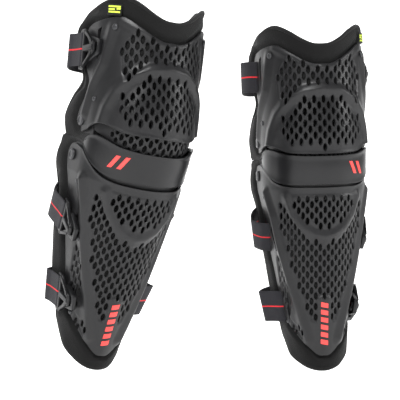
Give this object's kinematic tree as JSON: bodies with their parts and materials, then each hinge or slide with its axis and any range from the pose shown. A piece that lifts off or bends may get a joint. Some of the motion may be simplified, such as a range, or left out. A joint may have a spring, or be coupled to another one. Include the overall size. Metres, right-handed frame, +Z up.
{
  "type": "knee guards",
  "caption": "Pair of hard-shell knee and shin guards: vented plates hinged on a knee cup, padded liner, badge, elastic straps with swing-out hooks.",
  "frame": {"origin": "on the floor plan midway between the two guards, at the height midway between their pivots", "axes": "+Z up along the legs; the guards' fronts face -Y; +X runs from the wearer's right guard to the left one"},
  "size_m": [0.4728, 0.2464, 0.4987],
  "materials": {
    "plate_black": "moulded, fine satin grain",
    "cup_black": "moulded, satin",
    "pad_black": "brushed knit over foam",
    "strap_black": "woven elastic webbing with a thin red line",
    "rivet_grey": "dark satin",
    "signal_red": "satin",
    "label_yellow": "printed patch"
  },
  "bodies": {
    "right_knee": {"right_knee_cup": "cup_black", "right_knee_foam": "pad_black", "right_knee_badge": "signal_red", "right_pivot_washers": "rivet_grey"},
    "right_thigh": {"right_thigh_shell": "plate_black", "right_thigh_pad": "pad_black", "right_thigh_pivots": "rivet_grey", "right_thigh_studs": "rivet_grey", "right_thigh_strap": "strap_black", "right_rating_label": "label_yellow"},
    "right_shin": {"right_shin_shell": "plate_black", "right_shin_pad": "pad_black", "right_shin_foam": "pad_black", "right_shin_pivots": "rivet_grey", "right_shin_studs": "rivet_grey", "right_calf_strap": "strap_black", "right_ankle_strap": "strap_black", "right_shin_stripe": "signal_red"},
    "right_thigh_clip": {"right_thigh_hook": "cup_black", "right_thigh_hook_loop": "strap_black"},
    "right_calf_clip": {"right_calf_hook": "cup_black", "right_calf_hook_loop": "strap_black"},
    "right_ankle_clip": {"right_ankle_hook": "cup_black", "right_ankle_hook_loop": "strap_black"},
    "left_knee": {"left_knee_cup": "cup_black", "left_knee_foam": "pad_black", "left_knee_badge": "signal_red", "left_pivot_washers": "rivet_grey"},
    "left_thigh": {"left_thigh_shell": "plate_black", "left_thigh_pad": "pad_black", "left_thigh_pivots": "rivet_grey", "left_thigh_studs": "rivet_grey", "left_thigh_strap": "strap_black", "left_rating_label": "label_yellow"},
    "left_shin": {"left_shin_shell": "plate_black", "left_shin_pad": "pad_black", "left_shin_foam": "pad_black", "left_shin_pivots": "rivet_grey", "left_shin_studs": "rivet_grey", "left_calf_strap": "strap_black", "left_ankle_strap": "strap_black", "left_shin_stripe": "signal_red"},
    "left_thigh_clip": {"left_thigh_hook": "cup_black", "left_thigh_hook_loop": "strap_black"},
    "left_calf_clip": {"left_calf_hook": "cup_black", "left_calf_hook_loop": "strap_black"},
    "left_ankle_clip": {"left_ankle_hook": "cup_black", "left_ankle_hook_loop": "strap_black"}
  },
  "joints": [
    {"name": "right_thigh_hinge", "type": "hinge", "parent": "right_knee", "child": "right_thigh", "pos_m": [-0.14846, -0.04339, 0.02821], "axis": [-0.9848, -0.1384, 0.1045], "range_deg": [-13, 19]},
    {"name": "right_shin_hinge", "type": "hinge", "parent": "right_knee", "child": "right_shin", "pos_m": [-0.15554, -0.02661, -0.01621], "axis": [0.9848, 0.1384, -0.1045], "range_deg": [-3, 17]},
    {"name": "right_thigh_clip_swing", "type": "hinge", "parent": "right_thigh", "child": "right_thigh_clip", "pos_m": [-0.21183, -0.07891, 0.13032], "axis": [0.1011, 0.0318, 0.9944], "range_deg": [0, 40]},
    {"name": "right_calf_clip_swing", "type": "hinge", "parent": "right_shin", "child": "right_calf_clip", "pos_m": [-0.23209, -0.0436, -0.11007], "axis": [0.0135, -0.6259, 0.7798], "range_deg": [0, 40]},
    {"name": "right_ankle_clip_swing", "type": "hinge", "parent": "right_shin", "child": "right_ankle_clip", "pos_m": [-0.22883, -0.02407, -0.20341], "axis": [-0.0078, -0.3586, 0.9335], "range_deg": [0, 40]},
    {"name": "left_thigh_hinge", "type": "hinge", "parent": "left_knee", "child": "left_thigh", "pos_m": [0.15037, 0.0313, 0.01766], "axis": [-0.9776, 0.2078, -0.0349], "range_deg": [-1, 31]},
    {"name": "left_shin_hinge", "type": "hinge", "parent": "left_knee", "child": "left_shin", "pos_m": [0.15363, 0.0387, -0.02966], "axis": [0.9776, -0.2078, 0.0349], "range_deg": [-1, 19]},
    {"name": "left_thigh_clip_swing", "type": "hinge", "parent": "left_thigh", "child": "left_thigh_clip", "pos_m": [0.21791, -0.01, 0.11479], "axis": [0.0305, -0.0243, -0.9992], "range_deg": [0, 40]},
    {"name": "left_calf_clip_swing", "type": "hinge", "parent": "left_shin", "child": "left_calf_clip", "pos_m": [0.21701, -0.00599, -0.12424], "axis": [-0.034, 0.4341, -0.9002], "range_deg": [0, 40]},
    {"name": "left_ankle_clip_swing", "type": "hinge", "parent": "left_shin", "child": "left_ankle_clip", "pos_m": [0.20406, -0.00731, -0.21877], "axis": [-0.0929, 0.1428, -0.9854], "range_deg": [0, 40]},
    {"name": "pair_spacing", "type": "slide", "parent": "right_knee", "child": "left_knee", "axis": [1, 0, 0], "range_m": [0, 0.12]}
  ]
}
